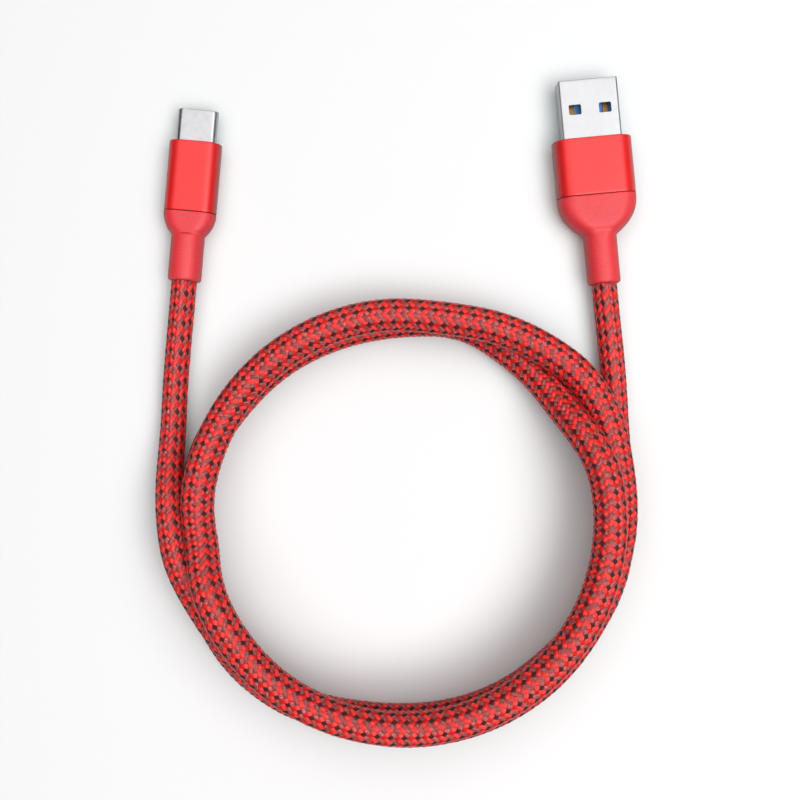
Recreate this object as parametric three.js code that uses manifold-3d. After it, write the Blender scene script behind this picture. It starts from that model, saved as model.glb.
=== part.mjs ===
// Braided charging and data cable: a USB-A 3.x plug and a USB-C plug on one loosely coiled cord.
// Millimetres, +Z up. The cable lies on the plane z = 0 and both plugs point towards +Y.
// The origin is under the middle of the two plugs.
import * as THREE from 'three';
import { mergeVertices } from 'three/addons/utils/BufferGeometryUtils.js';
import Module from 'manifold-3d';

const wasm = await Module();
wasm.setup();

// ---------------------------------------------------------------- driving dimensions
const GAP = 0.3;             // clearance between neighbouring pieces
const FINE = 0.12;           // clearance between the small metal pieces
// USB-A plug, measured along its own axis: y = 0 is the front face of the housing, +y points to the tip
const A_AT = [38.991, 8.531, 3.75];
const A_TURN = 5.24;         // degrees about +Z
const A_SHELL = { w: 12.0, h: 4.5, wall: 0.3, out: 12.0, back: 6.5, r: 0.45 };
const A_WINDOW = { w: 2.5, l: 2.05, x: 3.05, from: 5.0 };
const A_HOUSING = { w: 16.05, h: 7.5, l: 11.5, r: 3.3, wall: 0.9, front: 1.2 };
const A_CUP = { l: 8.2 };
const A_NECK = { d: 6.75, l: 9.72 };
// USB-C plug, in the same way
const C_AT = [-41.569, 7.981, 3.38];
const C_TURN = -4.92;
const C_SHELL = { w: 8.25, h: 2.4, wall: 0.22, out: 6.65, back: 5.0, r: 1.19 };
const C_HOUSING = { w: 10.62, h: 6.05, l: 14.17, r: 2.8, wall: 0.8, front: 1.0 };
const C_CUP = { l: 4.85 };
const C_NECK = { d: 6.75, l: 9.26 };
const BORE = 5.55;           // hole through both boots' necks
const FERRULE = { d: 5.0, bore: 4.4, l: 5.0 };
const JACKET = 3.9;          // cable jacket under the braided sleeve
// Cord: radius of the sleeve's stand-in tube at the plugs and in the loop
const CORD_R_LEAD = 2.4;
const CORD_R_LOOP = 3.05;
const CORD_SIDES = 10;
const CORD_STEPS = 78;
const ROUTE = [
  [-44.02, -20.49, 3.38], [-44.57, -26.75, 3.34], [-45.15, -33.01, 3.21], [-45.70, -39.27, 3.00], [-46.08, -45.54, 2.94],
  [-46.30, -51.78, 3.57], [-46.43, -57.83, 5.25], [-46.17, -63.70, 7.46], [-45.42, -69.76, 8.93], [-44.07, -75.85, 9.54],
  [-41.44, -81.54, 9.85], [-38.13, -86.88, 9.85], [-34.50, -92.00, 9.72], [-30.25, -96.63, 9.65], [-25.42, -100.64, 9.61],
  [-20.11, -104.00, 9.62], [-14.43, -106.68, 9.79], [-8.47, -108.65, 9.93], [-2.29, -109.74, 9.95], [3.99, -109.83, 9.95],
  [10.20, -108.93, 9.96], [16.22, -107.14, 9.96], [21.89, -104.45, 9.96], [27.09, -100.93, 9.95], [31.68, -96.64, 9.94],
  [35.56, -91.71, 9.85], [38.79, -86.32, 9.70], [41.28, -80.56, 9.65], [43.01, -74.52, 9.66], [43.88, -68.30, 9.66],
  [43.74, -62.03, 9.66], [42.95, -55.80, 9.47], [41.61, -49.67, 9.12], [39.11, -43.93, 8.89], [35.26, -38.99, 8.96],
  [30.25, -35.23, 9.31], [24.74, -32.22, 9.63], [18.87, -30.01, 9.80], [12.72, -28.75, 9.95], [6.49, -27.96, 9.96],
  [0.22, -27.53, 9.89], [-6.04, -28.03, 9.84], [-12.13, -29.54, 9.84], [-17.93, -31.95, 9.88], [-23.29, -35.22, 9.92],
  [-28.08, -39.27, 9.95], [-32.21, -44.01, 9.95], [-35.55, -49.32, 10.09], [-37.93, -55.05, 11.04], [-39.45, -61.10, 11.67],
  [-39.78, -67.35, 11.47], [-38.78, -73.47, 12.30], [-37.69, -79.18, 14.68], [-35.55, -84.87, 16.14], [-32.46, -90.33, 16.04],
  [-28.58, -95.26, 15.93], [-23.94, -99.48, 16.00], [-18.68, -102.91, 16.08], [-12.93, -105.43, 16.25], [-6.87, -107.07, 16.30],
  [-0.63, -107.79, 16.26], [5.64, -107.53, 16.21], [11.79, -106.27, 16.18], [17.67, -104.06, 16.18], [23.12, -100.94, 16.18],
  [28.02, -97.02, 16.18], [32.26, -92.39, 16.14], [35.76, -87.18, 16.02], [38.36, -81.47, 15.95], [40.01, -75.41, 15.96],
  [40.69, -69.17, 15.96], [40.44, -62.90, 15.73], [39.08, -56.85, 14.83], [36.45, -51.57, 12.73], [33.43, -47.12, 9.49],
  [30.38, -42.65, 6.30], [26.60, -38.13, 4.18], [21.86, -34.10, 3.38], [16.61, -30.66, 3.33], [10.71, -28.57, 3.33],
  [4.45, -28.16, 3.33], [-1.82, -28.53, 3.33], [-8.01, -29.59, 3.33], [-14.04, -31.36, 3.33], [-19.78, -33.89, 3.33],
  [-25.10, -37.24, 3.33], [-29.82, -41.37, 3.33], [-33.99, -46.08, 3.33], [-37.64, -51.19, 3.33], [-40.17, -56.92, 3.33],
  [-41.44, -63.07, 3.33], [-42.40, -69.28, 3.33], [-42.32, -75.55, 3.33], [-41.12, -81.71, 3.33], [-39.01, -87.63, 3.33],
  [-36.07, -93.17, 3.33], [-32.28, -98.18, 3.33], [-27.58, -102.33, 3.33], [-22.23, -105.62, 3.33], [-16.33, -107.74, 3.33],
  [-10.15, -108.89, 3.33], [-3.91, -109.59, 3.33], [2.37, -109.69, 3.33], [8.62, -109.08, 3.33], [14.73, -107.64, 3.33],
  [20.56, -105.29, 3.33], [25.95, -102.07, 3.33], [30.83, -98.13, 3.33], [35.34, -93.74, 3.33], [39.32, -88.89, 3.31],
  [42.30, -83.37, 3.25], [44.21, -77.39, 3.18], [45.11, -71.18, 3.17], [45.17, -64.90, 3.17], [44.81, -58.62, 3.18],
  [44.40, -52.35, 3.16], [44.07, -46.08, 3.11], [43.66, -39.81, 3.26], [43.03, -33.56, 3.54], [42.32, -27.32, 3.72],
  [41.71, -21.06, 3.75],
];

// ---------------------------------------------------------------- materials
const mat = (color, roughness, metalness) => new THREE.MeshStandardMaterial({ color, roughness, metalness });
const STEEL = mat(0xd9dade, 0.3, 0.95);
const RED_METAL = mat(0xd8232a, 0.35, 0.6);
const ROSE_RUBBER = mat(0xd83a48, 0.75, 0.0);
const BLUE_PLASTIC = mat(0x2f5fa8, 0.45, 0.0);
const BLACK_PLASTIC = mat(0x1c1c1e, 0.5, 0.0);
const GOLD = mat(0xd9b25a, 0.3, 0.9);
const WHITE_PLASTIC = mat(0xe8e6df, 0.5, 0.0);
const GREEN_BOARD = mat(0x1f6b3a, 0.5, 0.1);
const TIN = mat(0xb9bcc0, 0.4, 0.9);
const GREY_JACKET = mat(0x3a3a3d, 0.6, 0.0);
const RED_BRAID = mat(0xd92b2b, 0.8, 0.0);

// ---------------------------------------------------------------- geometry helpers
function solid(geometry) {
  const g = geometry.clone();
  for (const name of Object.keys(g.attributes)) if (name !== 'position') g.deleteAttribute(name);
  const m = mergeVertices(g, 1e-4);
  return new wasm.Manifold(new wasm.Mesh({
    numProp: 3,
    vertProperties: new Float32Array(m.attributes.position.array),
    triVerts: new Uint32Array(m.index.array),
  }));
}
function fromSolid(s) {
  const m = s.getMesh();
  const g = new THREE.BufferGeometry();
  g.setAttribute('position', new THREE.BufferAttribute(new Float32Array(m.vertProperties), 3));
  g.setIndex(new THREE.BufferAttribute(new Uint32Array(m.triVerts), 1));
  g.computeVertexNormals();
  return g;
}
function roundedRect(w, h, r, n = 6) {
  const s = new THREE.Shape();
  const pts = [];
  const q = Math.min(r, w / 2 - 1e-3, h / 2 - 1e-3);
  [[1, -1, -90], [1, 1, 0], [-1, 1, 90], [-1, -1, 180]].forEach(([sx, sy, a0]) => {
    for (let i = 0; i <= n; i++) {
      const a = (a0 + (90 * i) / n) * Math.PI / 180;
      pts.push(new THREE.Vector2(sx * (w / 2 - q) + q * Math.cos(a), sy * (h / 2 - q) + q * Math.sin(a)));
    }
  });
  s.setFromPoints(pts);
  return s;
}
// A prism of a section drawn in X and Z, from y0 to y1.
function prism(shape, y0, y1, steps = 1) {
  const g = new THREE.ExtrudeGeometry(shape, { depth: y1 - y0, bevelEnabled: false, steps, curveSegments: 12 });
  g.rotateX(Math.PI / 2);   // depth runs along -Y, section's y along +Z
  g.translate(0, y1, 0);
  return g;
}
const rod = (d, y0, y1, n = 20) => {
  const g = new THREE.CylinderGeometry(d / 2, d / 2, y1 - y0, n);
  g.translate(0, (y0 + y1) / 2, 0);
  return g;
};
const block = (w, l, h, x, y, z) => {
  const g = new THREE.BoxGeometry(w, l, h);
  g.translate(x, y, z);
  return g;
};
// A strip bent in the Y-Z plane: the centre line's points [y, z], its thickness, and its width along X.
function strip(line, t, w, x) {
  const up = [];
  const down = [];
  line.forEach(([y, z], i) => {
    const [ya, za] = line[Math.max(0, i - 1)];
    const [yb, zb] = line[Math.min(line.length - 1, i + 1)];
    const d = Math.hypot(yb - ya, zb - za);
    const ny = -(zb - za) / d;
    const nz = (yb - ya) / d;
    up.push(new THREE.Vector2(y + ny * t / 2, z + nz * t / 2));
    down.unshift(new THREE.Vector2(y - ny * t / 2, z - nz * t / 2));
  });
  const s = new THREE.Shape();
  s.setFromPoints([...up, ...down].reverse());
  const g = new THREE.ExtrudeGeometry(s, { depth: w, bevelEnabled: false });
  // section x -> Y, section y -> Z, depth -> X
  const m = new THREE.Matrix4().makeBasis(new THREE.Vector3(0, 1, 0), new THREE.Vector3(0, 0, 1), new THREE.Vector3(1, 0, 0));
  g.applyMatrix4(m);
  g.translate(x - w / 2, 0, 0);
  return g;
}
// A prism whose section is scaled along its length: scale(y) gives the factors in X and Z.
function tapered(shape, y0, y1, steps, scale) {
  const g = prism(shape, y0, y1, steps);
  const p = g.attributes.position;
  for (let i = 0; i < p.count; i++) {
    const [fx, fz] = scale(p.getY(i));
    p.setXYZ(i, p.getX(i) * fx, p.getY(i), p.getZ(i) * fz);
  }
  return g;
}
const minus = (a, ...cuts) => fromSolid(cuts.reduce((s, c) => s.subtract(solid(c)), solid(a)));

const cable = new THREE.Group();
const plug = (at, turn) => {
  const g = new THREE.Group();
  g.position.set(...at);
  g.rotation.z = THREE.MathUtils.degToRad(turn);
  cable.add(g);
  return g;
};
const put = (group, name, geometry, material) => {
  const m = new THREE.Mesh(geometry, material);
  m.name = name;
  group.add(m);
};

// ---------------------------------------------------------------- pieces that both plugs have
function housing(h, shell) {
  return minus(
    prism(roundedRect(h.w, h.h, h.r, 8), -h.l, 0),
    prism(roundedRect(h.w - 2 * h.wall, h.h - 2 * h.wall, h.r - h.wall, 6), -h.l - 1, -h.front),
    prism(roundedRect(shell.w + 2 * 0.15, shell.h + 2 * 0.15, shell.r + 0.15, 6), -h.front - 1, 1),
  );
}
// Soft boot: a cup in line with the housing that closes in to a round neck, hollow for the board and the cable.
function boot(h, cup, neck) {
  const y0 = -h.l - GAP;
  const y1 = -h.l - cup.l;
  const y2 = y1 - neck.l;
  const n = 32;
  const ring = [];
  const profile = (y) => {
    // half width and half height of the outside
    if (y >= y1) {
      const t = (y0 - y) / (y0 - y1);
      const e = 1 - Math.pow(Math.min(1, t), h.w > 13 ? 2.5 : 2.2);
      const b = neck.d / 2;
      return [b + (h.w / 2 - b) * e, b + (h.h / 2 - b) * e, t];
    }
    const end = Math.max(0, (y2 + 0.8) - y) / 0.8;
    const r = neck.d / 2 - 0.5 * (1 - Math.sqrt(Math.max(0, 1 - end * end)));
    return [r, r, 1];
  };
  // stations along the axis, closer together where the outline turns
  const ys = [];
  for (let i = 0; i <= 8; i++) ys.push(y0 + (y1 - y0) * Math.sin((i / 8) * Math.PI / 2));
  ys.push(y1 - neck.l * 0.4, y2 + 0.8, y2 + 0.4, y2 + 0.1, y2);
  const base = roundedRect(2, 2, 0.999, n / 4 - 1);
  const g = prism(base, 0, 1, ys.length - 1);
  const p = g.attributes.position;
  for (let i = 0; i < p.count; i++) {
    const k = Math.round((1 - p.getY(i)) * (ys.length - 1));
    const y = ys[k];
    const [a, b, t] = profile(y);
    const ang = Math.atan2(p.getZ(i), p.getX(i));
    // superellipse that goes from the housing's rounded rectangle to a circle
    const q = 2 + 2.6 * Math.pow(1 - Math.min(1, t), 0.7);
    const c = Math.cos(ang);
    const s = Math.sin(ang);
    const m = Math.pow(Math.pow(Math.abs(c / a), q) + Math.pow(Math.abs(s / b), q), -1 / q);
    p.setXYZ(i, m * c, y, m * s);
  }
  const cavity = prism(roundedRect(h.w - 3.4, h.h - 2.6, h.r - 1.3, 5), -h.l - cup.l * 0.45, -h.l + 1);
  return minus(g, cavity, rod(BORE, y2 - 1, -h.l + 1, 24));
}
function ferrule(front) {
  return minus(rod(FERRULE.d, front - FERRULE.l, front, 24), rod(FERRULE.bore, front - FERRULE.l - 1, front + 1, 20));
}

// ---------------------------------------------------------------- USB-A plug
const a = plug(A_AT, A_TURN);
{
  const S = A_SHELL;
  const inW = S.w - 2 * S.wall;
  const inH = S.h - 2 * S.wall;
  const wy = S.out - A_WINDOW.from - A_WINDOW.l / 2;
  const win = (x, z) => block(A_WINDOW.w, A_WINDOW.l, 1.2, x, wy, z);
  put(a, 'usb_a_shell', minus(
    prism(roundedRect(S.w, S.h, S.r, 5), -S.back, S.out),
    prism(roundedRect(inW, inH, S.r - S.wall, 4), -S.back - 1, S.out + 1),
    win(-A_WINDOW.x, S.h / 2), win(A_WINDOW.x, S.h / 2), win(-A_WINDOW.x, -S.h / 2), win(A_WINDOW.x, -S.h / 2),
  ), STEEL);
  // tongue: the plastic block along the lower wall, with grooves under the sprung contacts
  const tTop = 0.0;
  const tBot = -inH / 2 + FINE;
  const slots = [-4, -2, 0, 2, 4].map((x) => block(1.0, 5.2, 2.2, x, 1.8, tTop));
  put(a, 'usb_a_tongue', minus(
    block(inW - 2 * FINE, S.out - 0.7 + 5.0, tTop - tBot, 0, (S.out - 0.7 - 5.0) / 2, (tTop + tBot) / 2), ...slots), BLUE_PLASTIC);
  [['vbus', -3.5], ['dminus', -1.0], ['dplus', 1.0], ['gnd', 3.5]].forEach(([n, x]) =>
    put(a, 'usb_a_contact_' + n, block(n.length > 3 && n !== 'vbus' ? 1.0 : 1.2, 6.2, 0.16, x, 8.0, tTop + FINE + 0.08), GOLD));
  // sprung contacts: rooted at the back, arched over the grooves
  const arch = [[-0.6, -0.3], [0.4, -0.25], [1.4, 0.1], [2.2, 0.42], [2.9, 0.5], [3.5, 0.32], [4.0, 0.02]];
  [['ssrx_minus', -4], ['ssrx_plus', -2], ['gnd_drain', 0], ['sstx_minus', 2], ['sstx_plus', 4]].forEach(([n, x]) =>
    put(a, 'usb_a_contact_' + n, strip(arch, 0.16, 0.6, x), GOLD));
  put(a, 'usb_a_housing', housing(A_HOUSING, S), RED_METAL);
  put(a, 'usb_a_circuit_board', block(9.0, 8.2, 0.8, 0, -5.0 - GAP - 4.1, -0.4), GREEN_BOARD);
  put(a, 'usb_a_pullup_resistor', block(1.0, 0.5, 0.35, 2.2, -9.5, 0.3), BLACK_PLASTIC);
  put(a, 'usb_a_inner_mold', minus(
    prism(roundedRect(13.4, 4.9, 1.8, 5), -11.2, -6.5 - GAP),
    prism(roundedRect(9.8, 3.2, 0.4, 3), -14.0, 0), rod(5.8, -17.0, -13.0, 20)), WHITE_PLASTIC);
  const end = -(A_HOUSING.l + A_CUP.l + A_NECK.l);
  put(a, 'usb_a_boot', boot(A_HOUSING, A_CUP, A_NECK), ROSE_RUBBER);
  put(a, 'usb_a_crimp_ferrule', ferrule(-14.4), TIN);
  put(a, 'usb_a_jacket_end', rod(JACKET, end, -14.0, 20), GREY_JACKET);
}

// ---------------------------------------------------------------- USB-C plug
const c = plug(C_AT, C_TURN);
{
  const S = C_SHELL;
  const inW = S.w - 2 * S.wall;
  const inH = S.h - 2 * S.wall;
  put(c, 'usb_c_shell', minus(
    prism(roundedRect(S.w, S.h, S.r, 8), -S.back, S.out),
    prism(roundedRect(inW, inH, S.r - S.wall, 7), -S.back - 1, S.out + 1),
  ), STEEL);
  put(c, 'usb_c_insulator', block(5.9, 4.6, inH - 2 * FINE, 0, -1.7, 0), BLACK_PLASTIC);
  const beam = (side) => [[0.75, 0.62], [3.0, 0.62], [4.2, 0.5], [4.9, 0.42], [5.5, 0.56]].map(([y, z]) => [y, side * z]);
  const pitch = 0.5;
  ['a1_gnd', 'a2_tx', 'a3_tx', 'a4_vbus', 'a5_cc', 'a6_dplus', 'a7_dminus', 'a8_sbu', 'a9_vbus', 'a10_rx', 'a11_rx', 'a12_gnd'].forEach((n, i) =>
    put(c, 'usb_c_contact_' + n, strip(beam(1), 0.12, 0.25, (i - 5.5) * pitch), GOLD));
  ['b12_gnd', 'b11_rx', 'b10_rx', 'b9_vbus', 'b8_sbu', null, null, 'b5_vconn', 'b4_vbus', 'b3_tx', 'b2_tx', 'b1_gnd'].forEach((n, i) => {
    if (n) put(c, 'usb_c_contact_' + n, strip(beam(-1).reverse(), 0.12, 0.25, (i - 5.5) * pitch), GOLD);
  });
  // latch arms along the two short sides, each a sprung blade with an inward hook
  [['left', -1], ['right', 1]].forEach(([n, sx]) => {
    const s = new THREE.Shape();
    const pts = [[3.22, -1.6], [3.44, -1.6], [3.44, 5.0], [3.34, 5.6], [3.12, 5.6], [3.02, 4.9], [3.22, 4.1]];
    s.setFromPoints(pts.map(([x, y]) => new THREE.Vector2(sx * x, y)).sort(() => 0));
    const g = new THREE.ExtrudeGeometry(s, { depth: 0.7, bevelEnabled: false });
    g.translate(0, 0, -0.35);
    put(c, 'usb_c_latch_' + n, g, STEEL);
  });
  put(c, 'usb_c_housing', housing(C_HOUSING, S), RED_METAL);
  put(c, 'usb_c_circuit_board', block(6.7, 7.5, 0.8, 0, -5.0 - GAP - 3.75, 0), GREEN_BOARD);
  put(c, 'usb_c_inner_mold', minus(
    prism(roundedRect(8.4, 3.8, 1.5, 5), -13.85, -5.0 - GAP),
    prism(roundedRect(7.3, 2.2, 0.3, 3), -13.15, 0), rod(3.4, -16.0, -12.5, 20)), WHITE_PLASTIC);
  const end = -(C_HOUSING.l + C_CUP.l + C_NECK.l);
  put(c, 'usb_c_boot', boot(C_HOUSING, C_CUP, C_NECK), ROSE_RUBBER);
  put(c, 'usb_c_crimp_ferrule', ferrule(-14.7), TIN);
  put(c, 'usb_c_jacket_end', rod(JACKET, end, -14.4, 20), GREY_JACKET);
}

// ---------------------------------------------------------------- cord
{
  const curve = new THREE.CatmullRomCurve3(ROUTE.map((p) => new THREE.Vector3(...p)), false, 'centripetal');
  curve.arcLengthDivisions = 1200;
  const round = new THREE.Shape();
  round.setFromPoints(Array.from({ length: CORD_SIDES }, (_, i) => {
    const t = (2 * Math.PI * (i + 0.5)) / CORD_SIDES;
    return new THREE.Vector2(CORD_R_LOOP * Math.cos(t), CORD_R_LOOP * Math.sin(t));
  }));
  const g = new THREE.ExtrudeGeometry(round, { steps: CORD_STEPS, extrudePath: curve });
  // thinner beside the plugs, where the sleeve is stretched
  const centres = curve.getSpacedPoints(CORD_STEPS);
  const total = curve.getLength();
  const ease = (t) => { const q = Math.min(1, Math.max(0, t)); return q * q * (3 - 2 * q); };
  const p = g.attributes.position;
  const v = new THREE.Vector3();
  for (let i = 0; i < p.count; i++) {
    v.fromBufferAttribute(p, i);
    let best = 0;
    let near = Infinity;
    centres.forEach((q, k) => { const d = q.distanceToSquared(v); if (d < near) { near = d; best = k; } });
    const s = (best / CORD_STEPS) * total;
    const grow = ease((s - 20) / 60) * ease((total - s - 20) / 60);
    const r = CORD_R_LEAD + (CORD_R_LOOP - CORD_R_LEAD) * grow;
    v.sub(centres[best]).multiplyScalar(r / CORD_R_LOOP).add(centres[best]);
    p.setXYZ(i, v.x, v.y, v.z);
  }
  put(cable, 'cord_sleeve', g, RED_BRAID);
}

export default cable;
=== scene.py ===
import math
import bpy
import numpy as np
from mathutils import Matrix, Vector


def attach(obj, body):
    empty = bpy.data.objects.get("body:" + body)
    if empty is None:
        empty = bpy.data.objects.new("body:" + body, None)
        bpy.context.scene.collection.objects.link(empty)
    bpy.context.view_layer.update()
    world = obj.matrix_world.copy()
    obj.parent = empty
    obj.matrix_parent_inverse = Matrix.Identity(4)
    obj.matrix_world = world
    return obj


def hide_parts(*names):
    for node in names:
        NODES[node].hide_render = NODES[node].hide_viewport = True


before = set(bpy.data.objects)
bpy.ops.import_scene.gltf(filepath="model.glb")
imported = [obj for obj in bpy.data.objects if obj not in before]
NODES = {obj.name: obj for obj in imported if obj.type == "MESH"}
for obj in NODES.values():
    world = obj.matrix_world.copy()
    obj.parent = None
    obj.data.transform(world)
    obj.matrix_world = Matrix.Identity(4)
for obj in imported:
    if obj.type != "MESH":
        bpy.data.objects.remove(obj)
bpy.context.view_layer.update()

MM = 0.001

# ---------------------------------------------------------------- camera
cam_data = bpy.data.cameras.new("camera")
cam = bpy.data.objects.new("camera", cam_data)
bpy.context.scene.collection.objects.link(cam)
cam.location = (0.0000614, -0.0443992, 0.2303)
cam.rotation_euler = (0.0, 0.0, 0.0)
cam_data.lens = 50.0
cam_data.sensor_width = 36.0
cam_data.clip_start = 0.005
cam_data.clip_end = 10.0
bpy.context.scene.camera = cam


# ---------------------------------------------------------------- material helpers
class Mat:
    """A node material built step by step."""

    def __init__(self, name):
        self.m = bpy.data.materials.new(name)
        self.m.use_nodes = True
        self.nt = self.m.node_tree
        self.nt.nodes.clear()
        self.out = self.nt.nodes.new("ShaderNodeOutputMaterial")
        self.b = self.nt.nodes.new("ShaderNodeBsdfPrincipled")
        self.link(self.b.outputs[0], self.out.inputs["Surface"])

    def link(self, a, b):
        self.nt.links.new(a, b)

    def node(self, kind, **values):
        n = self.nt.nodes.new(kind)
        for k, v in values.items():
            if k.startswith("in_"):
                key = k[3:]
                n.inputs[int(key) if key.isdigit() else key.replace("_", " ")].default_value = v
            else:
                setattr(n, k, v)
        return n

    def set(self, **values):
        for k, v in values.items():
            self.b.inputs[k.replace("_", " ")].default_value = v
        return self

    def coords(self, kind="Object"):
        return self.node("ShaderNodeTexCoord").outputs[kind]

    def mapping(self, vector, scale=(1, 1, 1), rotation=(0, 0, 0), location=(0, 0, 0)):
        n = self.node("ShaderNodeMapping")
        n.inputs["Scale"].default_value = scale
        n.inputs["Rotation"].default_value = rotation
        n.inputs["Location"].default_value = location
        self.link(vector, n.inputs["Vector"])
        return n.outputs[0]

    def noise(self, vector, scale, detail=3.0, rough=0.55, dist=0.0):
        n = self.node("ShaderNodeTexNoise")
        n.inputs["Scale"].default_value = scale
        n.inputs["Detail"].default_value = detail
        n.inputs["Roughness"].default_value = rough
        n.inputs["Distortion"].default_value = dist
        self.link(vector, n.inputs["Vector"])
        return n.outputs["Fac"]

    def ramp(self, fac, stops):
        n = self.node("ShaderNodeValToRGB")
        e = n.color_ramp.elements
        while len(e) > 1:
            e.remove(e[-1])
        e[0].position, e[0].color = stops[0][0], self.col(stops[0][1])
        for p, c in stops[1:]:
            x = e.new(p)
            x.color = self.col(c)
        self.link(fac, n.inputs[0])
        return n.outputs[0]

    @staticmethod
    def col(c):
        if isinstance(c, (int, float)):
            return (c, c, c, 1.0)
        return tuple(c) + (1.0,) if len(c) == 3 else tuple(c)

    def mix(self, fac, a, b, mode="MIX"):
        n = self.node("ShaderNodeMix", data_type="RGBA", blend_type=mode)
        for sock, v in ((n.inputs[0], fac), (n.inputs[6], a), (n.inputs[7], b)):
            if isinstance(v, (int, float, tuple, list)):
                sock.default_value = v if isinstance(v, (int, float)) and sock == n.inputs[0] else self.col(v)
            else:
                self.link(v, sock)
        return n.outputs[2]

    def math(self, op, a, b=0.0, c=None):
        n = self.node("ShaderNodeMath", operation=op)
        for i, v in enumerate((a, b) if c is None else (a, b, c)):
            if isinstance(v, (int, float)):
                n.inputs[i].default_value = v
            else:
                self.link(v, n.inputs[i])
        return n.outputs[0]

    def bump(self, height, strength, distance):
        n = self.node("ShaderNodeBump")
        n.inputs["Strength"].default_value = strength
        n.inputs["Distance"].default_value = distance
        self.link(height, n.inputs["Height"])
        self.link(n.outputs[0], self.b.inputs["Normal"])
        return n

    def paint_flank_shade(self, low):
        """Painted shade: the base colour is multiplied darker where the object-space normal turns away from the flat
        faces, so the rounded flanks look shaded.
        """
        n = self.node("ShaderNodeSeparateXYZ")
        self.link(self.coords("Normal"), n.inputs[0])
        f = self.ramp(self.math("ABSOLUTE", n.outputs[2]), [(0.0, low), (0.55, low + (1 - low) * 0.55), (0.92, 1.0)])
        sock = self.b.inputs["Base Color"]
        self.to(self.mix(1.0, sock.links[0].from_socket, f, "MULTIPLY"), "Base Color")

    def to(self, value, name):
        self.link(value, self.b.inputs[name])


def srgb(r, g, b):
    f = lambda v: (v / 255) / 12.92 if v <= 10 else (((v / 255) + 0.055) / 1.055) ** 2.4
    return (f(r), f(g), f(b))


# ---------------------------------------------------------------- mesh helpers
def make(name, verts, faces, material=None, smooth=True, matrix=None, sharp=None):
    """Vertices in millimetres, placed by a matrix in millimetres, written in metres."""
    v = np.asarray(verts, float)
    if matrix is not None:
        m = np.array(matrix)
        v = v @ m[:3, :3].T + m[:3, 3]
    me = bpy.data.meshes.new(name)
    me.from_pydata((v * MM).tolist(), [], [tuple(int(i) for i in f) for f in faces])
    me.update()
    ob = bpy.data.objects.new(name, me)
    bpy.context.scene.collection.objects.link(ob)
    if material is not None:
        me.materials.append(material)
    me.polygons.foreach_set("use_smooth", [smooth] * len(me.polygons))
    if smooth and sharp is not None:
        me.set_sharp_from_angle(angle=math.radians(sharp))
    return ob


def rrect(w, h, r, m=10, fx=6, fz=4, q=2.0):
    """Closed loop of a rounded rectangle in X and Z, counter-clockwise seen from +Y towards -Y; same point count for every size. q over 2 makes the corner squarer."""
    r = min(r, w / 2, h / 2)
    pts = []
    cw, ch = w / 2 - r, h / 2 - r
    corners = [(cw, ch, 0), (-cw, ch, 90), (-cw, -ch, 180), (cw, -ch, 270)]
    arcs = []
    for cx, cz, a0 in corners:
        arc = []
        for i in range(m + 1):
            a = math.radians(a0 + 90 * i / m)
            c, s = math.cos(a), math.sin(a)
            k = (abs(c) ** q + abs(s) ** q) ** (-1 / q)
            arc.append((cx + r * c * k, cz + r * s * k))
        arcs.append(arc)
    n_flat = [fx, fz, fx, fz]
    for k in range(4):
        arc, nxt = arcs[k], arcs[(k + 1) % 4]
        pts += arc
        x0, z0 = arc[-1]
        x1, z1 = nxt[0]
        for i in range(1, n_flat[k]):
            t = i / n_flat[k]
            pts.append((x0 + (x1 - x0) * t, z0 + (z1 - z0) * t))
    return np.array(pts)


def loft(rings, closed_loop=False, cap_start=False, cap_end=False):
    """rings: list of (n, 3) arrays with one point count. Returns verts and quads; closed_loop joins the last ring to the first."""
    n = len(rings[0])
    verts = np.concatenate(rings)
    faces = []
    m = len(rings)
    for k in range(m if closed_loop else m - 1):
        a, b = k * n, ((k + 1) % m) * n
        for i in range(n):
            j = (i + 1) % n
            faces.append((a + i, a + j, b + j, b + i))
    if cap_start:
        c = len(verts)
        verts = np.vstack([verts, rings[0].mean(0)])
        faces += [(c, (i + 1) % n, i) for i in range(n)]
    if cap_end:
        c = len(verts)
        verts = np.vstack([verts, rings[-1].mean(0)])
        b = (m - 1) * n
        faces += [(c, b + i, b + (i + 1) % n) for i in range(n)]
    return verts, faces


def at_y(loop, y):
    return np.column_stack([loop[:, 0], np.full(len(loop), y), loop[:, 1]])


def outward(ob):
    """Faces turned to point out of the closed mesh."""
    import bmesh
    bm = bmesh.new()
    bm.from_mesh(ob.data)
    bmesh.ops.recalc_face_normals(bm, faces=bm.faces)
    bm.to_mesh(ob.data)
    bm.free()
    ob.data.update()
    return ob


def plug_matrix(x, y, z, turn):
    return Matrix.Translation((x, y, z)) @ Matrix.Rotation(math.radians(turn), 4, "Z")


A_MAT = plug_matrix(38.991, 8.531, 3.75, 5.24)
C_MAT = plug_matrix(-41.569, 7.981, 3.38, -4.92)

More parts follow.
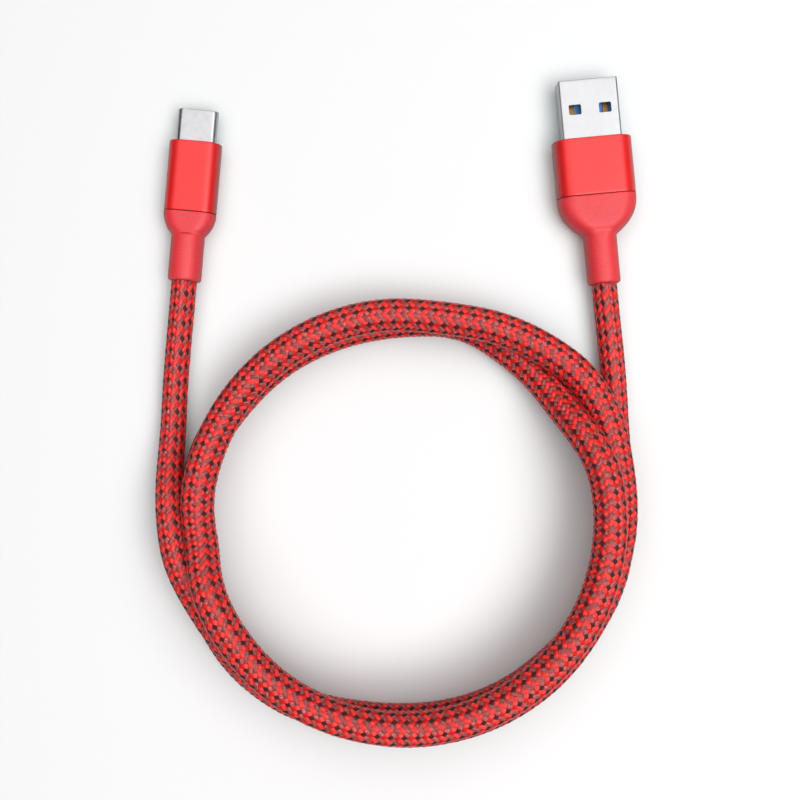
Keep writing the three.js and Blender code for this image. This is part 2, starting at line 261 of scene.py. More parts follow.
# ---------------------------------------------------------------- cord route, the same points as the CAD tube
ROUTE = np.array([
    (-0.04402, -0.02049, 0.00338), (-0.04457, -0.02675, 0.00334), (-0.04515, -0.03301, 0.00321), (-0.04570, -0.03927, 0.00300),
    (-0.04608, -0.04554, 0.00294), (-0.04630, -0.05178, 0.00357), (-0.04643, -0.05783, 0.00525), (-0.04617, -0.06370, 0.00746),
    (-0.04542, -0.06976, 0.00893), (-0.04407, -0.07585, 0.00954), (-0.04144, -0.08154, 0.00985), (-0.03813, -0.08688, 0.00985),
    (-0.03450, -0.09200, 0.00972), (-0.03025, -0.09663, 0.00965), (-0.02542, -0.10064, 0.00961), (-0.02011, -0.10400, 0.00962),
    (-0.01443, -0.10668, 0.00979), (-0.00847, -0.10865, 0.00993), (-0.00229, -0.10974, 0.00995), (0.00399, -0.10983, 0.00995),
    (0.01020, -0.10893, 0.00996), (0.01622, -0.10714, 0.00996), (0.02189, -0.10445, 0.00996), (0.02709, -0.10093, 0.00995),
    (0.03168, -0.09664, 0.00994), (0.03556, -0.09171, 0.00985), (0.03879, -0.08632, 0.00970), (0.04128, -0.08056, 0.00965),
    (0.04301, -0.07452, 0.00966), (0.04388, -0.06830, 0.00966), (0.04374, -0.06203, 0.00966), (0.04295, -0.05580, 0.00947),
    (0.04161, -0.04967, 0.00912), (0.03911, -0.04393, 0.00889), (0.03526, -0.03899, 0.00896), (0.03025, -0.03523, 0.00931),
    (0.02474, -0.03222, 0.00963), (0.01887, -0.03001, 0.00980), (0.01272, -0.02875, 0.00995), (0.00649, -0.02796, 0.00996),
    (0.00022, -0.02753, 0.00989), (-0.00604, -0.02803, 0.00984), (-0.01213, -0.02954, 0.00984), (-0.01793, -0.03195, 0.00988),
    (-0.02329, -0.03522, 0.00992), (-0.02808, -0.03927, 0.00995), (-0.03221, -0.04401, 0.00995), (-0.03555, -0.04932, 0.01009),
    (-0.03793, -0.05505, 0.01104), (-0.03945, -0.06110, 0.01167), (-0.03978, -0.06735, 0.01147), (-0.03878, -0.07347, 0.01230),
    (-0.03769, -0.07918, 0.01468), (-0.03555, -0.08487, 0.01614), (-0.03246, -0.09033, 0.01604), (-0.02858, -0.09526, 0.01593),
    (-0.02394, -0.09948, 0.01600), (-0.01868, -0.10291, 0.01608), (-0.01293, -0.10543, 0.01625), (-0.00687, -0.10707, 0.01630),
    (-0.00063, -0.10779, 0.01626), (0.00564, -0.10753, 0.01621), (0.01179, -0.10627, 0.01618), (0.01767, -0.10406, 0.01618),
    (0.02312, -0.10094, 0.01618), (0.02802, -0.09702, 0.01618), (0.03226, -0.09239, 0.01614), (0.03576, -0.08718, 0.01602),
    (0.03836, -0.08147, 0.01595), (0.04001, -0.07541, 0.01596), (0.04069, -0.06917, 0.01596), (0.04044, -0.06290, 0.01573),
    (0.03908, -0.05685, 0.01483), (0.03645, -0.05157, 0.01273), (0.03343, -0.04712, 0.00949), (0.03038, -0.04265, 0.00630),
    (0.02660, -0.03813, 0.00418), (0.02186, -0.03410, 0.00338), (0.01661, -0.03066, 0.00333), (0.01071, -0.02857, 0.00333),
    (0.00445, -0.02816, 0.00333), (-0.00182, -0.02853, 0.00333), (-0.00801, -0.02959, 0.00333), (-0.01404, -0.03136, 0.00333),
    (-0.01978, -0.03389, 0.00333), (-0.02510, -0.03724, 0.00333), (-0.02982, -0.04137, 0.00333), (-0.03399, -0.04608, 0.00333),
    (-0.03764, -0.05119, 0.00333), (-0.04017, -0.05692, 0.00333), (-0.04144, -0.06307, 0.00333), (-0.04240, -0.06928, 0.00333),
    (-0.04232, -0.07555, 0.00333), (-0.04112, -0.08171, 0.00333), (-0.03901, -0.08763, 0.00333), (-0.03607, -0.09317, 0.00333),
    (-0.03228, -0.09818, 0.00333), (-0.02758, -0.10233, 0.00333), (-0.02223, -0.10562, 0.00333), (-0.01633, -0.10774, 0.00333),
    (-0.01015, -0.10889, 0.00333), (-0.00391, -0.10959, 0.00333), (0.00237, -0.10969, 0.00333), (0.00862, -0.10908, 0.00333),
    (0.01473, -0.10764, 0.00333), (0.02056, -0.10529, 0.00333), (0.02595, -0.10207, 0.00333), (0.03083, -0.09813, 0.00333),
    (0.03534, -0.09374, 0.00333), (0.03932, -0.08889, 0.00331), (0.04230, -0.08337, 0.00325), (0.04421, -0.07739, 0.00318),
    (0.04511, -0.07118, 0.00317), (0.04517, -0.06490, 0.00317), (0.04481, -0.05862, 0.00318), (0.04440, -0.05235, 0.00316),
    (0.04407, -0.04608, 0.00311), (0.04366, -0.03981, 0.00326), (0.04303, -0.03356, 0.00354), (0.04232, -0.02732, 0.00372),
    (0.04171, -0.02106, 0.00375),
]) / MM


def natural_spline(p):
    """Cubic spline through the points by chord length: returns the spline sampled densely and the arc length at each
    sample.
    """
    t = np.r_[0, np.cumsum(np.linalg.norm(np.diff(p, axis=0), axis=1))]
    n = len(p)
    h = np.diff(t)
    a = np.zeros((n, n))
    rhs = np.zeros((n, 3))
    a[0, 0] = a[-1, -1] = 1
    for i in range(1, n - 1):
        a[i, i - 1], a[i, i], a[i, i + 1] = h[i - 1], 2 * (h[i - 1] + h[i]), h[i]
        rhs[i] = 6 * ((p[i + 1] - p[i]) / h[i] - (p[i] - p[i - 1]) / h[i - 1])
    m = np.linalg.solve(a, rhs)

    def at(x):
        x = np.asarray(x, float)
        i = np.clip(np.searchsorted(t, x) - 1, 0, n - 2)
        d, e = (t[i + 1] - x)[:, None], (x - t[i])[:, None]
        hh = h[i][:, None]
        return (m[i] * d**3 + m[i + 1] * e**3) / (6 * hh) + (p[i] / hh - m[i] * hh / 6) * d + (p[i + 1] / hh - m[i + 1] * hh / 6) * e

    dense = at(np.linspace(0, t[-1], 16001))
    arc = np.r_[0, np.cumsum(np.linalg.norm(np.diff(dense, axis=0), axis=1))]
    return dense, arc


INSIDE = 3.0  # the sleeve goes this far into each boot's neck


def y_axis(mat):
    return np.array(mat.to_3x3() @ Vector((0, 1, 0)))


dense, arc = natural_spline(ROUTE)
head = ROUTE[0] + y_axis(C_MAT) * np.linspace(INSIDE, 0.0, 30, endpoint=False)[:, None]
tail = ROUTE[-1] + y_axis(A_MAT) * np.linspace(0.0, INSIDE, 31)[1:, None]
line = np.vstack([head, dense, tail])
arc = np.r_[0, np.cumsum(np.linalg.norm(np.diff(line, axis=0), axis=1))]
TOTAL = float(arc[-1])


def smooth01(x):
    x = np.clip(x, 0, 1)
    return x * x * (3 - 2 * x)


def grow(s):
    s = s - INSIDE
    end = TOTAL - 2 * INSIDE
    return smooth01((s - 20) / 60) * smooth01((end - s - 20) / 60)


R_LEAD, R_LOOP = 2.59, 3.33
N_WAY = 16           # ribbons each way round the sleeve
P_LEAD, P_LOOP = 24.2, 20.2


def radius(s):
    return R_LEAD + (R_LOOP - R_LEAD) * grow(s)


# frames that don't twist along the line
S = np.linspace(0, TOTAL, 6001)
CL = np.column_stack([np.interp(S, arc, line[:, k]) for k in range(3)])
TG = np.gradient(CL, axis=0)
TG /= np.linalg.norm(TG, axis=1)[:, None]
N1 = np.zeros_like(CL)
up = np.array([0.0, 0.0, 1.0])
N1[0] = up - TG[0] * up.dot(TG[0])
N1[0] /= np.linalg.norm(N1[0])
for i in range(1, len(S)):
    v = N1[i - 1] - TG[i] * N1[i - 1].dot(TG[i])
    N1[i] = v / np.linalg.norm(v)
N2 = np.cross(TG, N1)
PHASE = np.r_[0, np.cumsum(2 * math.pi / (P_LEAD + (P_LOOP - P_LEAD) * grow((S[1:] + S[:-1]) / 2)) * np.diff(S))]


def build_sleeve():
    """The braid as one closed skin whose mesh lines follow the yarns: every yarn goes over two and under two of the other way's, so the floats make a herringbone."""
    K = 3
    frac = np.array([0.0, 0.2, 0.8])
    n2 = 2 * N_WAY
    rows = int(PHASE[-1] * N_WAY / math.pi * K) - 2
    rows -= rows % 2
    cols = N_WAY * K
    r = np.arange(rows + 1)[:, None]
    c = np.arange(cols)[None, :]
    # a - b = -r ... a + b = 2 c + (r mod 2)
    apb = 2 * c + (r % 2)
    bma = r + 0 * c
    a = (apb - bma) // 2
    b = (apb + bma) // 2
    ia, ib = a // K, b // K
    ka, kb = a % K, b % K
    U = ia + frac[ka]
    V = ib + frac[kb]
    over_a = lambda i, j: np.isin((i + j) % 4, (1, 2))
    phi = math.pi * (U + V) / N_WAY + math.radians(-27)
    th = math.pi * (V - U) / N_WAY + PHASE[0] + 0.02
    s = np.interp(th, PHASE, S)
    # height: 0 on a yarn's crown, -1 in the deepest gap
    h = np.zeros(U.shape)
    here = over_a(ia, ib)
    m4 = (ia + ib) % 4
    inner = (ka > 0) & (kb > 0)
    near_end = (here & (((m4 == 1) & (kb == 1)) | ((m4 == 2) & (kb == 2)))) | (~here & (((m4 == 3) & (ka == 1)) | ((m4 == 0) & (ka == 2))))
    h = np.where(inner, np.where(near_end, -0.26, -0.03), h)
    # border lines: along a float the crown runs on, side by side the ribbons touch high up, ends dive deep
    bu = (ka == 0) & (kb > 0)
    both_b = ~over_a(ia, ib) & ~over_a(ia - 1, ib)
    twin_a = over_a(ia, ib) & over_a(ia - 1, ib)
    h = np.where(bu, np.where(both_b, 0.0, np.where(twin_a, -0.45, -0.80)), h)
    bv = (kb == 0) & (ka > 0)
    both_a = over_a(ia, ib) & over_a(ia, ib - 1)
    twin_b = ~over_a(ia, ib) & ~over_a(ia, ib - 1)
    h = np.where(bv, np.where(both_a, 0.0, np.where(twin_b, -0.45, -0.80)), h)
    h = np.where((ka == 0) & (kb == 0), -0.72, h)
    # small differences from yarn to yarn and from float to float
    rng = np.random.default_rng(7)
    tbl = rng.random(4096)
    ja = np.where(here, ia * 131 + (ib - (m4 == 2)) * 17, ib * 149 + (ia - (m4 == 0)) * 29 + 1777)
    h = h + (tbl[np.abs(ja) % 4096] - 0.5) * 0.16 * inner
    amp = 0.29 + 0.08 * grow(s)
    rad = radius(s) + amp * h
    C = np.stack([np.interp(s, S, CL[:, k]) for k in range(3)], -1)
    A1 = np.stack([np.interp(s, S, N1[:, k]) for k in range(3)], -1)
    A2 = np.stack([np.interp(s, S, N2[:, k]) for k in range(3)], -1)
    P = C + rad[..., None] * (np.cos(phi)[..., None] * A1 + np.sin(phi)[..., None] * A2)
    verts = P.reshape(-1, 3)
    # quads: (a,b) (a+1,b) (a+1,b+1) (a,b+1) -> rows r, r-1, r, r+1
    rr = np.arange(1, rows)[:, None]
    cc = np.arange(cols)[None, :]
    apb = 2 * cc + (rr % 2)
    aa = (apb - rr) // 2
    bb = (apb + rr) // 2

    def vid(a_, b_):
        row = b_ - a_
        col = ((a_ + b_) // 2) % cols
        # a + b wraps round the tube every 2 N K
        return row * cols + col

    quads = np.stack([vid(aa, bb), vid(aa + 1, bb), vid(aa + 1, bb + 1), vid(aa, bb + 1)], -1).reshape(-1, 4)
    fi, fj = (aa // K).reshape(-1), (bb // K).reshape(-1)
    fka, fkb = (aa % K).reshape(-1), (bb % K).reshape(-1)
    fa = over_a(fi, fj)
    ribbon = np.where(fa, fi, fj)
    # ribbon numbers count round the tube; only whether a number is odd or even is used below
    # painted shade: each crossing float keeps its yarn's own material on one half and takes a darker painted-shade copy
    # on the other half
    m_col = (fi + fj) % 8
    deep = np.isin(m_col, (4, 7)) | ((m_col == 3) & (fka == 2)) | ((m_col == 0) & (fka == 0))
    # slots 0 and 1 are the two yarn colours, slots 2 and 3 their painted-shade copies
    yarn_and_shade_slot = (ribbon % 2) + 2 * (~fa & deep)
    nxt = np.array([0.0, 0.2, 0.8, 1.0])
    u0, u1 = fi + nxt[fka], fi + nxt[fka + 1]
    v0, v1 = fj + nxt[fkb], fj + nxt[fkb + 1]
    cu = np.stack([u0, u1, u1, u0], -1)
    cv = np.stack([v0, v0, v1, v1], -1)
    ux = np.where(fa[:, None], cu, cv + 3.37)
    uy = np.where(fa[:, None], cv, cu + 41.7)
    # second layer: how far along its float and how far across the ribbon
    m_face = (fi + fj) % 4
    start = np.where(fa, fj - (m_face == 2), fi - (m_face == 0))
    along = np.where(fa[:, None], cv, cu) - start[:, None]
    hv = along / 2.0
    across = np.where(fa[:, None], cu - fi[:, None], cv - fj[:, None])
    relief = np.stack([hv, across], -1).reshape(-1, 2)
    return verts, quads, yarn_and_shade_slot, relief, np.stack([ux, uy], -1).reshape(-1, 2), rows, cols


def sleeve_object(materials):
    verts, quads, yarn_and_shade_slot, relief, uv, rows, cols = build_sleeve()
    nv = len(verts)
    caps = []
    first_c = verts[:cols].mean(0)
    last_c = verts[rows * cols:(rows + 1) * cols].mean(0)
    verts = np.vstack([verts, first_c, last_c])
    # zig-zag ends: rows 0/1 and the last two
    tri = []
    for i in range(cols):
        j = (i + 1) % cols
        tri.append((i, cols + i, j))
        tri.append((nv, i, j))
        e, d = rows * cols, (rows - 1) * cols
        if rows % 2 == 0:
            # last row even: sits between d[i-1] and d[i]
            tri.append((e + i, e + j, d + i))
        else:
            tri.append((e + i, e + j, d + j))
        tri.append((nv + 1, e + j, e + i))
    tri = np.array(tri)
    me = bpy.data.meshes.new("cord_braided_sleeve")
    nq, nt = len(quads), len(tri)
    me.vertices.add(len(verts))
    me.vertices.foreach_set("co", (verts * MM).astype(np.float32).ravel())
    me.loops.add(nq * 4 + nt * 3)
    me.loops.foreach_set("vertex_index", np.concatenate([quads.ravel(), tri.ravel()]).astype(np.int32))
    me.polygons.add(nq + nt)
    starts = np.concatenate([np.arange(nq) * 4, nq * 4 + np.arange(nt) * 3]).astype(np.int32)
    totals = np.concatenate([np.full(nq, 4), np.full(nt, 3)]).astype(np.int32)
    me.polygons.foreach_set("loop_start", starts)
    me.polygons.foreach_set("loop_total", totals)
    for material in materials:
        me.materials.append(material)
    me.polygons.foreach_set("material_index", np.concatenate([yarn_and_shade_slot, np.zeros(nt)]).astype(np.int32))
    me.update(calc_edges=True)
    me.validate()
    me.polygons.foreach_set("use_smooth", [True] * len(me.polygons))
    layer = me.uv_layers.new(name="weave")
    layer.data.foreach_set("uv", np.concatenate([uv.ravel(), np.zeros(nt * 6)]).astype(np.float32))
    layer = me.uv_layers.new(name="relief")
    layer.data.foreach_set("uv", np.concatenate([relief.ravel(), np.full(nt * 6, 0.3)]).astype(np.float32))
    ob = bpy.data.objects.new("cord_braided_sleeve", me)
    bpy.context.scene.collection.objects.link(ob)
    return ob


# ---------------------------------------------------------------- materials
# the across-ribbon and along-float multipliers paint shade into the colour, and the glint strength and colour paint
# highlights
def yarn(name, deep, mid, light, rough, sheen, gloss, painted_glint, ends, painted_glint_colour=(0.62, 0.40, 0.39), side_shade_low=0.62):
    m = Mat(name)
    uv = m.node("ShaderNodeUVMap", uv_map="weave").outputs[0]
    rel = m.node("ShaderNodeSeparateXYZ")
    m.link(m.node("ShaderNodeUVMap", uv_map="relief").outputs[0], rel.inputs[0])
    fibre = m.noise(m.mapping(uv, (8.0, 0.55, 1.0)), 1.0, 3.0, 0.6, 0.15)
    fine = m.noise(m.mapping(uv, (22.0, 1.1, 1.0)), 1.0, 2.0, 0.5)
    patch = m.noise(m.mapping(uv, (0.9, 0.9, 1.0)), 1.0, 2.0, 0.5)
    both = m.math("ADD", m.math("MULTIPLY", fibre, 0.65), m.math("MULTIPLY", fine, 0.35))
    base = m.ramp(both, [(0.36, deep), (0.5, mid), (0.64, light)])
    tone = m.ramp(patch, [(0.35, 0.80), (0.65, 1.08)])
    base = m.mix(1.0, base, tone, "MULTIPLY")
    # painted glints: grey-pink streaks painted into the colour along a ribbon's edges and at a float's ends, where
    # filaments would catch the light
    off = m.math("ABSOLUTE", m.math("SUBTRACT", rel.outputs[1], 0.5))
    far = m.math("ABSOLUTE", m.math("SUBTRACT", rel.outputs[0], 0.5))
    # mask for the painted glints, strongest at a ribbon's edges and a float's ends
    edge = m.ramp(m.math("MAXIMUM", off, far), [(0.22, 0.10), (0.46, 1.0)])
    painted_glint_streak = m.ramp(m.noise(m.mapping(uv, (15.0, 0.8, 1.0), location=(3.7, 9.1, 0.0)), 1.0, 2.0, 0.5), [(0.53, 0.0), (0.64, 1.0)])
    base = m.mix(m.math("MULTIPLY", m.math("MULTIPLY", edge, painted_glint_streak), painted_glint), base, painted_glint_colour)
    # painted shade and highlight: the colour is darkened across a ribbon towards its edges and along a float towards
    # where it dives under the next, and lifted where the along-float values go above 1
    side = m.ramp(off, [(0.0, 1.0), (0.38, 0.97), (0.5, side_shade_low)])
    dive = m.ramp(rel.outputs[0], [(0.0, ends[0]), (0.14, ends[1]), (0.34, ends[2]), (0.62, ends[3]), (0.86, ends[4]), (1.0, ends[5])])
    m.to(m.mix(1.0, m.mix(1.0, base, side, "MULTIPLY"), dive, "MULTIPLY"), "Base Color")
    m.to(m.ramp(fine, [(0.3, rough - 0.1), (0.7, rough + 0.12)]), "Roughness")
    m.set(Sheen_Weight=sheen, Sheen_Roughness=0.35, Specular_IOR_Level=gloss)
    m.bump(both, 0.9, 0.00009)
    return m.m


RED_YARN = yarn("red_yarn", (0.70, 0.010, 0.009), (0.97, 0.022, 0.019), (1.0, 0.055, 0.045), 0.34, 0.0, 0.35, 0.18,
                (0.60, 1.0, 1.0, 0.96, 0.74, 0.36))
# painted highlight: the melange yarn's along-float values above 1 lighten the floats near their start
MELANGE_YARN = yarn("melange_yarn", (0.13, 0.010, 0.009), (0.33, 0.020, 0.019), (0.66, 0.13, 0.12), 0.36, 0.0, 0.4, 0.55,
                    (0.80, 1.35, 1.15, 0.90, 0.70, 0.40))
# painted shade: a darker copy of the red yarn for the shaded half of crossing floats
RED_YARN_PAINTED_SHADE = yarn("red_yarn_painted_shade", (0.36, 0.005, 0.005), (0.66, 0.008, 0.007), (0.82, 0.018, 0.016), 0.40, 0.0, 0.22, 0.06,
                 (0.70, 1.0, 1.0, 1.0, 1.0, 0.70), side_shade_low=0.75)
# painted shade: a darker copy of the melange yarn for the shaded half of crossing floats
MELANGE_YARN_PAINTED_SHADE = yarn("melange_yarn_painted_shade", (0.022, 0.004, 0.004), (0.062, 0.007, 0.007), (0.12, 0.018, 0.018), 0.42, 0.22, 0.18, 0.10,
                 (0.80, 1.0, 1.0, 1.0, 1.0, 0.80), (0.16, 0.14, 0.14), side_shade_low=0.85)


def anodised(name):
    m = Mat(name)
    obj = m.coords("Object")
    cloud = m.noise(obj, 140.0, 3.0, 0.5)
    grain = m.noise(obj, 5200.0, 2.0, 0.6)
    m.to(m.mix(m.ramp(cloud, [(0.35, 0.0), (0.65, 1.0)]), (0.72, 0.009, 0.009), (0.78, 0.011, 0.011)), "Base Color")
    m.set(Metallic=0.18, Specular_IOR_Level=0.5, Coat_Weight=0.22, Coat_Roughness=0.40)
    # painted shade: the rounded flanks of the housing are darkened in the colour
    m.paint_flank_shade(0.18)
    m.to(m.ramp(grain, [(0.3, 0.30), (0.7, 0.42)]), "Roughness")
    m.bump(grain, 0.25, 0.00002)
    return m.m


def rubber(name, c0, c1):
    m = Mat(name)
    obj = m.coords("Object")
    grain = m.noise(obj, 3400.0, 4.0, 0.7)
    speck = m.noise(obj, 8500.0, 2.0, 0.5)
    cloud = m.noise(obj, 180.0, 2.0, 0.5)
    base = m.mix(m.ramp(cloud, [(0.3, 0.0), (0.7, 1.0)]), c0, c1)
    spk = m.ramp(speck, [(0.34, 0.74), (0.5, 1.0), (0.66, 1.22)])
    m.to(m.mix(1.0, base, spk, "MULTIPLY"), "Base Color")
    m.set(Specular_IOR_Level=0.62, Sheen_Weight=0.0, Sheen_Roughness=0.5, Subsurface_Weight=0.0)
    m.to(m.ramp(grain, [(0.3, 0.44), (0.7, 0.60)]), "Roughness")
    m.bump(grain, 0.55, 0.00006)
    # painted shade: the rounded flanks of the boot are darkened in the colour
    m.paint_flank_shade(0.50)
    return m.m


def metal(name, colour, rough, brushed=(1, 1, 1), scale=900.0, bump=0.08):
    m = Mat(name)
    obj = m.coords("Object")
    n = m.noise(m.mapping(obj, brushed), scale, 4.0, 0.6)
    tone = m.noise(obj, 120.0, 2.0, 0.5)
    m.to(m.mix(m.ramp(tone, [(0.3, 0.0), (0.7, 1.0)]), tuple(c * 0.94 for c in colour), colour), "Base Color")
    m.set(Metallic=1.0)
    m.to(m.ramp(n, [(0.3, rough - 0.06), (0.7, rough + 0.08)]), "Roughness")
    m.bump(n, bump, 0.00002)
    return m.m


def plastic(name, c0, c1, rough, scale=1500.0):
    m = Mat(name)
    obj = m.coords("Object")
    n = m.noise(obj, scale, 3.0, 0.6)
    cloud = m.noise(obj, 200.0, 2.0, 0.5)
    m.to(m.mix(cloud, c0, c1), "Base Color")
    m.set(Specular_IOR_Level=0.45)
    m.to(m.ramp(n, [(0.3, rough - 0.05), (0.7, rough + 0.08)]), "Roughness")
    m.bump(n, 0.2, 0.00002)
    return m.m


HOUSING_RED = anodised("anodised_red")
BOOT_ROSE = rubber("rose_elastomer", (0.665, 0.022, 0.031), (0.71, 0.027, 0.037))
STEEL = metal("satin_nickel", (0.42, 0.42, 0.43), 0.33, bump=0.015)
# gold plating darkened in its colour as painted shade, for contacts that sit in the shade inside the shells
GOLD_WITH_PAINTED_SHADE = metal("gold_plating_painted_shade", (0.20, 0.12, 0.045), 0.42, scale=2500.0)
BLUE = plastic("blue_tongue", (0.055, 0.22, 0.56), (0.065, 0.25, 0.62), 0.38)
BLACK = plastic("black_insulator", (0.012, 0.012, 0.013), (0.022, 0.022, 0.024), 0.45)
WHITE = plastic("natural_moulding", (0.72, 0.70, 0.64), (0.80, 0.79, 0.74), 0.5)
BOARD = plastic("solder_mask", (0.010, 0.12, 0.035), (0.016, 0.17, 0.05), 0.35)
TIN = metal("tinned_copper", (0.62, 0.63, 0.64), 0.38)
JACKET = plastic("cable_jacket", (0.03, 0.03, 0.033), (0.045, 0.045, 0.05), 0.55)

for name, ob in NODES.items():
    if name.endswith("_tongue"):
        mt = BLUE
    elif "_contact_" in name:
        mt = GOLD_WITH_PAINTED_SHADE
    elif "latch" in name or name.endswith("_shell"):
        mt = STEEL
    elif name.endswith("_housing"):
        mt = HOUSING_RED
    elif name.endswith("_boot"):
        mt = BOOT_ROSE
    elif name.endswith("_inner_mold"):
        mt = WHITE
    elif name.endswith("_board"):
        mt = BOARD
    elif name.endswith("_ferrule"):
        mt = TIN
    elif name.endswith("_jacket_end"):
        mt = JACKET
    elif name == "cord_sleeve":
        mt = RED_YARN
    else:
        mt = BLACK
    ob.data.materials.clear()
    ob.data.materials.append(mt)

# ---------------------------------------------------------------- cord
sleeve = sleeve_object((RED_YARN, MELANGE_YARN, RED_YARN_PAINTED_SHADE, MELANGE_YARN_PAINTED_SHADE))
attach(sleeve, "cable")
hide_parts("cord_sleeve")


# ---------------------------------------------------------------- housings
def housing(name, node, mat, w, h, l, r, shell_w, shell_h, shell_r, wall, front, q):
    e = 0.22   # rounded front and back edges
    rings = []

    def ring(dw, y, inner=None):
        if inner is None:
            rings.append(at_y(rrect(w - 2 * dw, h - 2 * dw, r - dw, 14, 8, 3, q), y))
        else:
            iw, ih, ir = inner
            rings.append(at_y(rrect(iw, ih, ir, 14, 8, 3, 2.0), y))

    cav = (w - 2 * wall, h - 2 * wall, max(r - wall, 0.4))
    opening = (shell_w + 0.24, shell_h + 0.24, shell_r + 0.12)
    ring(0, -l, cav)
    ring(wall * 0.45, -l)
    ring(0.10, -l + 0.0)
    ring(0.03, -l + 0.035)
    ring(0.0, -l + 0.10)
    for y in np.linspace(-l + 0.5, -0.6, 10):
        ring(0.0, y)
    for k in range(7):
        a = math.radians(90 * k / 6)
        ring(e * (1 - math.cos(a)), -e + e * math.sin(a))
    ring(e + 0.35, 0.0)
    ring(0, 0.0, (opening[0] + 0.5, opening[1] + 0.5, opening[2] + 0.2))
    ring(0, 0.0, (opening[0] + 0.16, opening[1] + 0.16, opening[2] + 0.08))
    ring(0, -0.08, opening)
    ring(0, -front, opening)
    ring(0, -front - 0.02, cav)
    ob = make(name, *loft(rings, closed_loop=True), material=HOUSING_RED, matrix=mat, sharp=38)
    outward(ob)
    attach(ob, "cable")
    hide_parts(node)
    return ob


a_housing = housing("usb_a_housing_body", "usb_a_housing", A_MAT, 16.05, 7.5, 11.5, 3.4, 12.0, 4.5, 0.6, 0.9, 1.2, 2.1)
c_housing = housing("usb_c_housing_body", "usb_c_housing", C_MAT, 10.62, 6.05, 14.17, 2.9, 8.25, 2.4, 1.19, 0.8, 1.0, 2.1)


# ---------------------------------------------------------------- boots
def boot(name, node, mat, w, h, l, cup, neck_d, neck_l, r, bore=5.42, outline=None):
    y0 = -l - 0.10
    y1 = -l - cup
    y2 = y1 - neck_l
    nr = neck_d / 2
    n_m, n_fx, n_fz = 14, 8, 3
    rings = []

    def outer(y, shrink=0.0):
        t = (y0 - y) / (y0 - y1)
        if t >= 1:
            return at_y(rrect(neck_d - 2 * shrink, neck_d - 2 * shrink, nr - shrink, n_m, n_fx, n_fz), y)
        e = outline(t)
        a = nr + (w / 2 - nr) * e
        # the flat faces run on, then drop into a shallow crease before the neck
        b = nr + (h / 2 - nr) * (1 - t**5) - 0.24 * math.exp(-(((t - 0.90) / 0.075) ** 2)) * min(1.0, (1 - t) / 0.04)
        rr = min(nr + (r - nr) * e if r < nr else r, a, b)
        # corner radius runs from the housing's to the full round of the neck
        rr = (1 - t) * r + t * nr
        rr = min(rr + (b - rr) * smooth01(t), b, a)
        loop = rrect(2 * a - 2 * shrink, 2 * b - 2 * shrink, rr - shrink, n_m, n_fx, n_fz, 2.1 - 0.1 * t)
        return at_y(loop, y)

    cav = at_y(rrect(w - 3.4, h - 2.6, r - 1.3, n_m, n_fx, n_fz), y0)
    rings.append(cav)
    rings.append(outer(y0, 0.30))
    rings.append(outer(y0, 0.10))
    rings.append(outer(y0 - 0.04, 0.035))
    rings.append(outer(y0 - 0.12, 0.0))
    for t in np.linspace(0.03, 1.0, 30):
        rings.append(outer(y0 + (y1 - y0) * t ** 0.85))
    for y in np.linspace(y1 - 0.4, y2 + 1.0, 10):
        rings.append(outer(y))
    # rolled end of the neck
    er = 0.62
    for k in range(8):
        a = math.radians(90 * k / 7)
        rings.append(outer(y2 + er - er * math.sin(a), er * (1 - math.cos(a))))
    br = bore / 2
    circ = lambda rad, y: at_y(rrect(2 * rad, 2 * rad, rad, n_m, n_fx, n_fz), y)
    rings.append(circ(br + 0.10, y2 + 0.02))
    rings.append(circ(br, y2 + 0.14))
    rings.append(circ(br, y1 + 1.0))
    inner_y = -l - cup * 0.45
    rings.append(circ(br, inner_y))
    rings.append(at_y(rrect(w - 3.4, h - 2.6, r - 1.3, n_m, n_fx, n_fz), inner_y + 0.05))
    ob = make(name, *loft(rings, closed_loop=True), material=BOOT_ROSE, matrix=mat, sharp=42)
    outward(ob)
    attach(ob, "cable")
    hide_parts(node)
    return ob


def cup_curve(power, soft):
    """Share of the cup's extra width left at t; a soft corner where the cup meets the neck."""
    k = soft * math.log(2.0)

    def f(t):
        e = 1 - t ** power
        v = soft * math.log1p(math.exp(min(e / soft, 60.0)))
        top = soft * math.log1p(math.exp(1.0 / soft))
        return (v - k) / (top - k) if t < 1 else 0.0
    return f


a_boot = boot("usb_a_boot_body", "usb_a_boot", A_MAT, 16.05, 7.5, 11.5, 8.2, 6.75, 9.72, 3.4, outline=cup_curve(2.5, 0.06))
c_boot = boot("usb_c_boot_body", "usb_c_boot", C_MAT, 10.62, 6.05, 14.17, 4.85, 6.75, 9.26, 2.9, outline=cup_curve(2.2, 0.06))


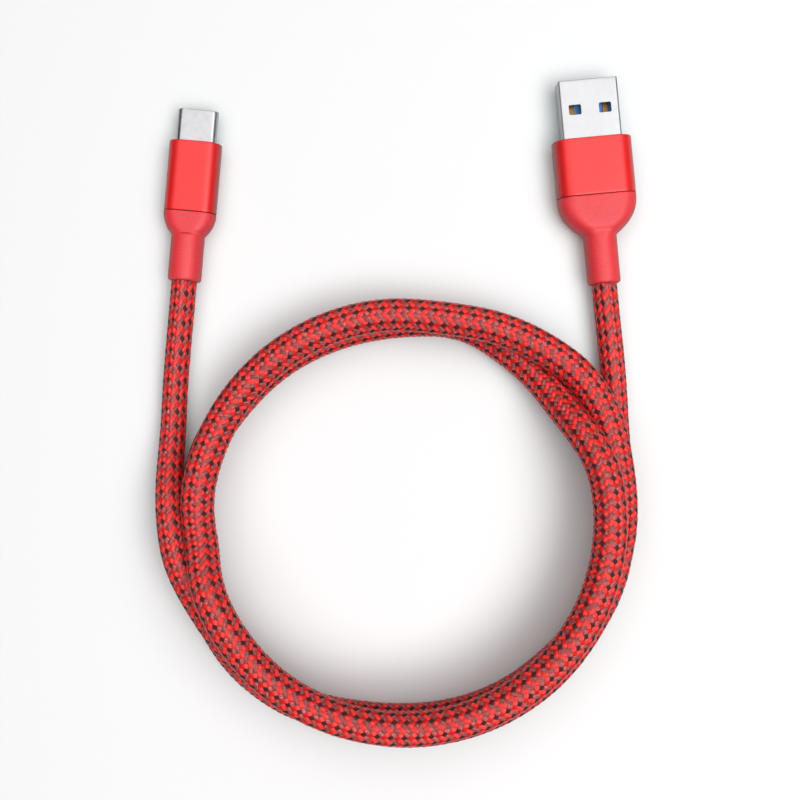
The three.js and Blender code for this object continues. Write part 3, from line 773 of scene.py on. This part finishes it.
# ---------------------------------------------------------------- shells
def shell(name, node, mat, w, h, r, wall, back, out, m=10, q=2.0, cutters=()):
    rings = []
    e = min(0.14, wall * 0.48)
    o = lambda dw, y: rings.append(at_y(rrect(w - 2 * dw, h - 2 * dw, max(r - dw, 0.05), m, 10, 4, q), y))
    o(0.0, -back)
    for y in np.linspace(-0.5, out - 0.6, 9):
        o(0.0, y)
    for k in range(6):
        a = math.radians(90 * k / 5)
        o(e * (1 - math.cos(a)), out - e + e * math.sin(a))
    for k in range(6):
        a = math.radians(90 * k / 5)
        o(wall - e * (1 - math.sin(a)), out - e + e * math.cos(a))
    for y in np.linspace(out - 0.7, -back, 8):
        o(wall, y)
    ob = make(name, *loft(rings, closed_loop=True), material=STEEL, smooth=True)
    ob.data.transform(Matrix.Scale(1000.0, 4))   # millimetres while it is cut
    outward(ob)
    for i, (cx, cy, cz, cw, cl, ch) in enumerate(cutters):
        pts = rrect(cw, cl, 0.32, 6, 2, 2)
        lo = np.column_stack([pts[:, 0] + cx, pts[:, 1] + cy, np.full(len(pts), cz - ch / 2)])
        hi = np.column_stack([pts[:, 0] + cx, pts[:, 1] + cy, np.full(len(pts), cz + ch / 2)])
        cut = make("cut", *loft([lo, hi], cap_start=True, cap_end=True))
        cut.data.transform(Matrix.Scale(1000.0, 4))
        outward(cut)
        mod = ob.modifiers.new("cut", "BOOLEAN")
        mod.operation, mod.solver, mod.object = "DIFFERENCE", "EXACT", cut
        bpy.context.view_layer.objects.active = ob
        dg = bpy.context.evaluated_depsgraph_get()
        me = bpy.data.meshes.new_from_object(ob.evaluated_get(dg), depsgraph=dg)
        ob.modifiers.clear()
        ob.data = me
        bpy.data.objects.remove(cut)
    full = Matrix(mat) if not isinstance(mat, Matrix) else mat
    ob.data.transform(Matrix.Scale(MM, 4) @ full)
    ob.data.polygons.foreach_set("use_smooth", [True] * len(ob.data.polygons))
    ob.data.set_sharp_from_angle(angle=math.radians(35))
    ob.data.materials.clear()
    ob.data.materials.append(STEEL)
    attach(ob, "cable")
    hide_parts(node)
    return ob


wy = 12.0 - 5.0 - 1.025
a_shell = shell("usb_a_shell_body", "usb_a_shell", A_MAT, 12.0, 4.5, 0.45, 0.3, 6.5, 12.0,
                cutters=[(sx * 3.05, wy, sz * 2.25, 2.5, 2.05, 1.2) for sx in (-1, 1) for sz in (-1, 1)])
c_shell = shell("usb_c_shell_body", "usb_c_shell", C_MAT, 8.25, 2.4, 1.19, 0.22, 5.0, 6.65, m=14)

# small CAD pieces get a softened edge
for name, ob in NODES.items():
    if "_contact_" in name or name.endswith("_tongue") or name.endswith("_insulator") or "latch" in name:
        bev = ob.modifiers.new("edge", "BEVEL")
        bev.width = 0.00004 if "_contact_" in name else 0.00010
        bev.segments = 2
        bev.limit_method = "ANGLE"

# ---------------------------------------------------------------- floor, light
bpy.context.scene.view_settings.view_transform = "Standard"
floor_me = bpy.data.meshes.new("floor")
floor_me.from_pydata([(-3, -3, 0), (3, -3, 0), (3, 3, 0), (-3, 3, 0)], [], [(0, 1, 2, 3)])
floor = bpy.data.objects.new("floor", floor_me)
bpy.context.scene.collection.objects.link(floor)
fm = Mat("floor_white_shade_tint")
# painted shade tint: where the floor is occluded near objects its colour turns cyan-grey, which cancels the red light
# bounced onto it from the cord
floor_shade_tint_ao = fm.node("ShaderNodeAmbientOcclusion", samples=4)
floor_shade_tint_ao.inputs["Distance"].default_value = 0.02
fm.to(fm.ramp(floor_shade_tint_ao.outputs["AO"], [(0.35, (0.70, 0.775, 0.775)), (0.85, (0.76, 0.76, 0.76))]), "Base Color")
fm.set(Roughness=0.9, Specular_IOR_Level=0.05)
floor_me.materials.append(fm.m)

world = bpy.data.worlds.new("studio")
bpy.context.scene.world = world
world.use_nodes = True
world.node_tree.nodes.clear()
bg = world.node_tree.nodes.new("ShaderNodeBackground")
bg.inputs[0].default_value = (1.0, 1.0, 1.0, 1.0)
bg.inputs[1].default_value = 0.06
world.node_tree.links.new(bg.outputs[0], world.node_tree.nodes.new("ShaderNodeOutputWorld").inputs[0])


def area(name, at, target, size, power, colour=(1, 1, 1)):
    d = bpy.data.lights.new(name, "AREA")
    d.shape, d.size, d.energy, d.color = "DISK", size, power, colour
    o = bpy.data.objects.new(name, d)
    bpy.context.scene.collection.objects.link(o)
    o.location = at
    o.rotation_euler = (Vector(target) - Vector(at)).to_track_quat("-Z", "Y").to_euler()
    return o


def around(name, az, el, size, power, far=0.8):
    ca, ce = math.cos(math.radians(az)), math.cos(math.radians(el))
    sa, se = math.sin(math.radians(az)), math.sin(math.radians(el))
    area(name, (far * ce * ca, -0.05 + far * ce * sa, far * se), (0, -0.05, 0), size, power)


around("top", 0, 90, 1.4, 7.2)
around("right", 350, 60, 0.6, 2.3)
around("behind", 80, 60, 1.0, 1.4)
around("front_right", 315, 60, 0.45, 1.5)
